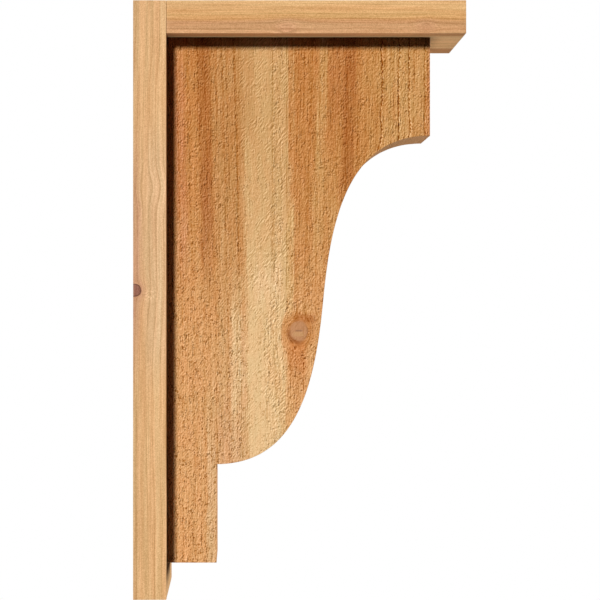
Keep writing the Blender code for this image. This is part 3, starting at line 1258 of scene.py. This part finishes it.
def board(name, low, high, grain, material, node, seed):
    """A planed board between two corners.

    With q the nearest point of the inner box, ARRIS in from every face, and n the unit
    vector from q to the point, the skin is q + ARRIS * n, less n times the relief.
    """
    low, high = np.array(low), np.array(high)
    steps = [BOARD_STEP_ALONG if axis == grain else BOARD_STEP_ACROSS for axis in range(3)]
    points, faces = box_skin([ruled(low[axis], high[axis], steps[axis]) for axis in range(3)])
    inner = np.clip(points, low + ARRIS, high - ARRIS)
    normal = points - inner
    normal /= np.linalg.norm(normal, axis=1, keepdims=True)
    points = inner + ARRIS * normal
    relief = np.zeros(len(points))
    for axis in range(3):
        along = grain if axis != grain else (grain + 1) % 3
        across = 3 - axis - along
        cell_along = 70 * MM if axis != grain else 5 * MM
        ripple = smooth_noise(points[:, across], points[:, along], 4.4 * MM, cell_along, seed + axis)
        swell = smooth_noise(points[:, across], points[:, along], 24 * MM, 3 * cell_along, seed + 10 + axis)
        relief += normal[:, axis] ** 2 * (2 + ripple + swell) / 4
    points -= normal * (relief * 2 * PLANED_RELIEF)[:, None]
    gaps = np.sort(np.concatenate([points - low, high - points], axis=1), axis=1)
    marks = {
        "arris": np.exp(-gaps[:, 1] / (1.2 * MM)),
        "end_grain": normal[:, grain] ** 2,
    }
    make_piece(name, points, faces, marks, material, node)


board("planed_back_plate", plate_low, plate_high, 2, plate_cedar_material,
      "back_plate", 20)
arm_end = (arm_low.x - TIGHT_JOINT, arm_low.y, arm_low.z)
board("planed_arm", arm_end, arm_high, 0, arm_cedar_material,
      "arm", 40)

# %% [markdown]
# The corbel's front edge is an ogee between two straight stretches. The same two cubic
# curves draw it here as in the solid, each the other turned half round the middle, and
# the cell prints how far it strays from the solid's own points.

# %% The ogee
NOSE_HEIGHT = 0.1143
FOOT_HEIGHT = 0.1143
FOOT_DEPTH = 0.05715
OGEE_END_PULL = 0.761
OGEE_MIDDLE_PULL = 0.507
OGEE_MIDDLE_LEAN = math.radians(5.4)
JOINT_GAP = 0.3 * MM
foot_x = corbel_low.x - JOINT_GAP + FOOT_DEPTH
foot_z = corbel_low.z + FOOT_HEIGHT
nose_x = corbel_high.x
nose_z = corbel_high.z + JOINT_GAP - NOSE_HEIGHT


def cubic(start, first_pull, second_pull, end, t):
    """A cubic curve and its direction.

    The place is the sum of the four points weighted by (1-t)^3, 3t(1-t)^2, 3t^2(1-t) and
    t^3, and the direction is its derivative, made a unit long.
    """
    t = t[:, None]
    u = 1 - t
    place_on = u**3 * start + 3 * t * u**2 * first_pull + 3 * t**2 * u * second_pull + t**3 * end
    going = 3 * u**2 * (first_pull - start) + 6 * t * u * (second_pull - first_pull)
    going = going + 3 * t**2 * (end - second_pull)
    return place_on, going / np.linalg.norm(going, axis=1, keepdims=True)


def ogee(t):
    """The ogee from foot (t = 0) to nose (t = 1): points (x, z) and outward normals."""
    half_run, half_rise = (nose_x - foot_x) / 2, (nose_z - foot_z) / 2
    middle = np.array([foot_x + half_run, foot_z + half_rise])
    end_pull = np.array([OGEE_END_PULL * half_run, 0.0])
    upward = np.array([math.sin(OGEE_MIDDLE_LEAN), math.cos(OGEE_MIDDLE_LEAN)])
    lean = OGEE_MIDDLE_PULL * half_rise * upward
    foot, nose = np.array([foot_x, foot_z]), np.array([nose_x, nose_z])
    lower, lower_way = cubic(foot, foot + end_pull, middle - lean, middle, np.clip(2 * t, 0, 1))
    upper, upper_way = cubic(middle, middle + lean, nose - end_pull, nose, np.clip(2 * t - 1, 0, 1))
    on_lower = (t < 0.5)[:, None]
    points = np.where(on_lower, lower, upper)
    way = np.where(on_lower, lower_way, upper_way)
    return points, np.stack([way[:, 1], -way[:, 0]], axis=1)


dense_ogee = ogee(np.linspace(0, 1, 4001))[0]
solid = np.array([vertex.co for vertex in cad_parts["corbel"].data.vertices])
on_rim = abs(solid[:, 1]) < corbel_high.y - 0.15 * MM
past_foot = (solid[:, 0] > foot_x + MM) & (solid[:, 2] > foot_z + 0.1 * MM)
on_ogee = solid[on_rim & past_foot & (solid[:, 2] < nose_z - MM)]
strays = [np.hypot(*(dense_ogee - point[[0, 2]]).T).min() for point in on_ogee]
furthest = max(strays, default=0) / MM
print("ogee:", len(on_ogee), "points of the solid, furthest off by mm", round(furthest, 4))

# %% [markdown]
# The skin of the corbel is one grid of upright columns on each broad face, because the
# grain is upright too: a column follows a fibre. Behind the straight foot the columns
# reach right down, and past it they end on the ogee, closer together where the ogee is
# steep. The checks, the drying cracks in the nose, get finer columns of their own. The
# two broad grids are joined round the rim by rings, the first of which ease the arris.

# %% Columns and rows of the corbel
CORBEL_ARRIS = 0.7 * MM
COLUMN_STEP = 1.6 * MM
RIM_STEP = 3.1 * MM
ROW_STEP = 3.4 * MM
CHECK_STEP = 0.6 * MM
CHECK_PLACES = [0.2865, 0.3068, 0.3187, 0.3368]
CHECK_REACH = 2.4 * MM
CHECK_BEND = 5 * MM           # below the nose the checks lean towards the wall


def column_places():
    """Ogee parameters spaced so that neighbours are a column step or a rim step apart.

    The weight between two close samples is the larger of their sideways distance over
    the column step there and their distance along the curve over the rim step; equal
    shares of the summed weight give the columns.
    """
    t = np.linspace(0, 1, 8001)
    points, normals = ogee(t)
    points = points - CORBEL_ARRIS * normals
    change = np.abs(np.diff(points, axis=0))
    x = (points[1:, 0] + points[:-1, 0]) / 2
    off_checks = [np.maximum(x - check_x, check_x - CHECK_BEND - x) for check_x in CHECK_PLACES]
    step = np.where(np.min(off_checks, axis=0) < CHECK_REACH, CHECK_STEP, COLUMN_STEP)
    weight = np.maximum(change[:, 0] / step, np.hypot(change[:, 0], change[:, 1]) / RIM_STEP)
    total = np.concatenate([[0], np.cumsum(weight)])
    return np.interp(np.linspace(0, total[-1], round(total[-1]) + 1), total, t)


ogee_t = column_places()
ogee_points, ogee_normals = ogee(ogee_t)
ogee_normals[0] = (1.0, -1.0)
ogee_normals[-1] = (1.0, -1.0)
inset_ogee = ogee_points - CORBEL_ARRIS * ogee_normals
rear_x, top_z = corbel_low.x, corbel_high.z
foot_columns = np.linspace(rear_x + CORBEL_ARRIS, foot_x - CORBEL_ARRIS,
                           round(FOOT_DEPTH / COLUMN_STEP))
foot_rows = np.linspace(corbel_low.z + CORBEL_ARRIS, foot_z + CORBEL_ARRIS,
                        round(FOOT_HEIGHT / ROW_STEP))
upper_rows = np.linspace(0, 1, round((top_z - foot_z) / ROW_STEP))
print("columns:", len(foot_columns), "+", len(ogee_t), "rows:", len(foot_rows), "+", len(upper_rows))

# %% [markdown]
# One broad face is then two patches of points that share the column over the foot's
# corner. The rim is the loop of points round both patches, each with the direction that
# leads out of the board there.

# %% Patches and rim
upper_z = foot_z + CORBEL_ARRIS + upper_rows * (top_z - CORBEL_ARRIS - foot_z - CORBEL_ARRIS)
rows_z = np.concatenate([foot_rows[:-1], upper_z])
foot_patch = np.stack(np.meshgrid(foot_columns, rows_z, indexing="ij"), axis=-1)
ogee_patch = np.empty((len(ogee_t), len(upper_rows), 2))
ogee_patch[..., 0] = inset_ogee[:, 0:1]
ogee_patch[..., 1] = inset_ogee[:, 1:2] + upper_rows * (top_z - CORBEL_ARRIS - inset_ogee[:, 1:2])
foot_index = np.arange(foot_patch[..., 0].size).reshape(foot_patch.shape[:2])
ogee_index = np.empty(ogee_patch.shape[:2], int)
ogee_index[0] = foot_index[-1, len(foot_rows) - 1:]
ogee_index[1:] = foot_index.size + np.arange(ogee_index[1:].size).reshape(ogee_index[1:].shape)
face_points = np.concatenate([foot_patch.reshape(-1, 2), ogee_patch[1:].reshape(-1, 2)])
face_quads = np.concatenate([grid_faces(foot_index), grid_faces(ogee_index)])

# Round the rim, seen from -Y: along the foot, up its side, along the ogee, up the nose,
# back along the top and down the rear.
turn = len(foot_rows) - 1
rim_index = np.concatenate([
    foot_index[:, 0], foot_index[-1, 1:turn], ogee_index[:, 0], ogee_index[-1, 1:],
    ogee_index[-2::-1, -1], foot_index[-2::-1, -1], foot_index[0, -2:0:-1],
])


def facing(x, z, count):
    """The same way out of the board for a stretch of the rim's points."""
    return np.tile((float(x), float(z)), (count, 1))


rim_out = np.concatenate([
    facing(0, -1, len(foot_columns)), facing(1, 0, turn - 1), ogee_normals,
    facing(1, 0, len(upper_rows) - 1), facing(0, 1, len(ogee_t) - 1),
    facing(0, 1, len(foot_columns) - 1), facing(-1, 0, len(rows_z) - 2),
])
corner_at = {
    0: (-1.0, -1.0),
    len(foot_columns) - 1: (1.0, -1.0),
    len(foot_columns) + turn - 1 + len(ogee_t) + len(upper_rows) - 2: (1.0, 1.0),
    len(rim_index) - len(rows_z) + 1: (-1.0, 1.0),
}
for number, out in corner_at.items():
    rim_out[number] = out
rim_start = face_points[rim_index]
rim_steps = np.hypot(*np.diff(rim_start, axis=0, append=rim_start[:1]).T)
rim_run = np.concatenate([[0], np.cumsum(rim_steps)[:-1]])
print("face points:", len(face_points), "rim points:", len(rim_index))
print("rim length mm:", round(rim_steps.sum() / MM))

# %% [markdown]
# Now the relief. Fibres stand in ridges along the grain, torn spots are short and deep,
# and the wood is rougher in patches and above the knot. The branch stands smooth, with a
# ring sunk about it. The checks wander a little, and torn fibres stand up beside them.
# The marks of the checks go to the finish, so that colour and shape agree.

# %% Relief of the sawn faces
SAWN_DEPTH = 0.42 * MM
RIM_DEPTH = 0.22 * MM
CHECK_DEPTH = 0.5 * MM
CHECK_WIDTH = 0.8 * MM
CHECK_SKIRT = 1.6 * MM
CHECK_WANDER = 0.9 * MM
LIP_PLACE = 1.15 * MM         # torn fibres stand up on the right of a check
LIP_WIDTH = 0.55 * MM
LIP_RISE = 0.12 * MM


def sawn_relief(x, z, seed):
    """How deep the sawn face lies at (x, z), and the marks of its checks, in metres.

    The depth is the sum of smooth noises: long ridges, torn ridges that are strongest in
    patches and above the knot, and broad swells; the branch is flat with a ring sunk
    about it. Each check is a groove, a bell curve across its path, which wanders by
    noise in z, with a low lip beside it.
    """
    ridge = smooth_noise(x, z, 4.6 * MM, 46 * MM, seed)
    torn = smooth_noise(x, z, 4.2 * MM, 7.5 * MM, seed + 1)
    swell = smooth_noise(x, z, 42 * MM, 120 * MM, seed + 2)
    patch = smooth_step(smooth_noise(x, z, 30 * MM, 55 * MM, seed + 3), -0.35, 0.45)
    dx, dz = x - CORBEL_KNOT_X, z - CORBEL_KNOT_Z
    from_knot = np.hypot(dx, dz / CORBEL_KNOT_STRETCH) / CORBEL_KNOT_SIZE
    above_knot = np.exp(-((dx + 0.001) / (11 * MM)) ** 2) * smooth_step(dz, 8 * MM, 16 * MM)
    above_knot = above_knot * (1 - smooth_step(dz, 28 * MM, 46 * MM))
    level = 0.5 + 0.16 * ridge + (0.13 + 0.17 * patch + 0.42 * above_knot) * torn + 0.12 * swell
    branch = 1 - smooth_step(from_knot, 0.85, 1.0)
    level = level * (1 - branch) + 0.30 * branch
    level = level + 0.55 * np.exp(-((from_knot - 1.03) / 0.10) ** 2)
    depth = np.clip(level, 0.0, 1.6) * SAWN_DEPTH
    aside = np.full_like(x, CHECK_REACH)
    bend = CHECK_BEND * (1 - smooth_step(z, 0.166, 0.196))
    for number, check_x in enumerate(CHECK_PLACES):
        row = np.zeros_like(z) + number
        path = check_x + CHECK_WANDER * smooth_noise(row, z, 1.0, 17 * MM, seed + 5) - bend
        off = x - path
        aside = np.where(np.abs(off) < np.abs(aside), off, aside)
    groove = np.exp(-(aside / CHECK_WIDTH) ** 2)
    lip = np.exp(-((aside - LIP_PLACE) / LIP_WIDTH) ** 2)
    near = np.exp(-(aside / CHECK_SKIRT) ** 2)
    return depth + CHECK_DEPTH * groove - LIP_RISE * lip, near, aside


def rim_relief(run, y, seed):
    """How deep the sawn rim lies: saw marks that run across the board, and short flecks."""
    kerf = smooth_noise(run, y, 6.3 * MM, 90 * MM, seed)
    fleck = smooth_noise(run, y, 8 * MM, 12 * MM, seed + 1)
    return np.clip(0.5 + 0.3 * kerf + 0.2 * fleck, 0.0, 1.0) * RIM_DEPTH


near_depth, near_check, near_aside = sawn_relief(face_points[:, 0], face_points[:, 1], 60)
far_depth, far_check, far_aside = sawn_relief(face_points[:, 0], face_points[:, 1], 80)
print("near face depth mm: mean", round(near_depth.mean() / MM, 2),
      "deepest", round(near_depth.max() / MM, 2))

# %% [markdown]
# Last, the two faces and the rim are put together. A ring of the rim is the loop of
# points moved out by some amount and set at some depth in the board. The first and last
# rings follow a quarter circle, which eases the arrises.

# %% The corbel itself
WALL_STEP = 8 * MM
ARRIS_TURNS = (30, 60, 90)


def rim_rings():
    """The rings from the near face to the far one: reach out of the rim, Y, share, depths.

    The share is the cosine of the turn round the arris, 1 on the broad face and 0 on the
    rim. It fades out the broad face's depths and fades in the rim's.
    """
    near_y, far_y = corbel_low.y, corbel_high.y
    eased = []
    for turn_deg in ARRIS_TURNS:
        angle = math.radians(turn_deg)
        share = math.cos(angle)
        eased.append((CORBEL_ARRIS * math.sin(angle), CORBEL_ARRIS * (1 - share), share))
    wall_rings = round((far_y - near_y) / WALL_STEP)
    wall = np.linspace(near_y + CORBEL_ARRIS, far_y - CORBEL_ARRIS, wall_rings)[1:-1]
    near = [(out, near_y + down, share, near_depth) for out, down, share in eased]
    far = [(out, far_y - down, share, -far_depth) for out, down, share in eased[::-1]]
    return near + [(CORBEL_ARRIS, y, 0.0, near_depth) for y in wall] + far


def corbel_piece():
    """The corbel's closed skin, from two broad grids and the rings between them."""
    near = np.column_stack([face_points[:, 0], corbel_low.y + near_depth, face_points[:, 1]])
    far = np.column_stack([face_points[:, 0], corbel_high.y - far_depth, face_points[:, 1]])
    around = len(rim_index)
    ring_points, ring_broad, loops = [], [], [rim_index]
    for number, (out, y, share, depths) in enumerate(rim_rings()):
        inward = rim_relief(rim_run, np.full(around, y), 90) * (1 - share)
        moved = rim_start + rim_out * (out - inward)[:, None]
        ring_y = y + depths[rim_index] * share**2
        ring_points.append(np.column_stack([moved[:, 0], ring_y, moved[:, 1]]))
        ring_broad.append(np.full(around, share**2))
        loops.append(2 * len(near) + number * around + np.arange(around))
    loops.append(len(near) + rim_index)
    closed = np.stack([np.append(loop, loop[0]) for loop in loops], axis=1)
    faces = [face_quads, face_quads[:, ::-1] + len(near), grid_faces(closed, flip=True)]
    no_check = np.zeros(len(ring_points) * around)
    marks = {
        "broad": np.concatenate([np.ones(2 * len(near)), *ring_broad]),
        "check": np.concatenate([near_check, far_check, no_check]),
        "aside": np.concatenate([near_aside, far_aside, no_check]),
        "run": np.concatenate([np.zeros(2 * len(near)), np.tile(rim_run, len(ring_points))]),
    }
    points = np.concatenate([near, far, *ring_points])
    make_piece("rough_sawn_corbel", points, np.concatenate(faces), marks, rough_cedar_material,
               "corbel")


corbel_piece()

# %% [markdown]
# The looks must not change the bracket's size, so the last cell writes down the box of
# the imported model and the box of these surfaces, one beside the other.

# %% Sizes
dressed_box = [list(corner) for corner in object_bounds()]
for name, new, old in zip(("low", "high"), dressed_box, cad_box):
    print(name, "corner off the packed model's in mm:", [round((a - b) / MM, 2) for a, b in zip(new, old)])
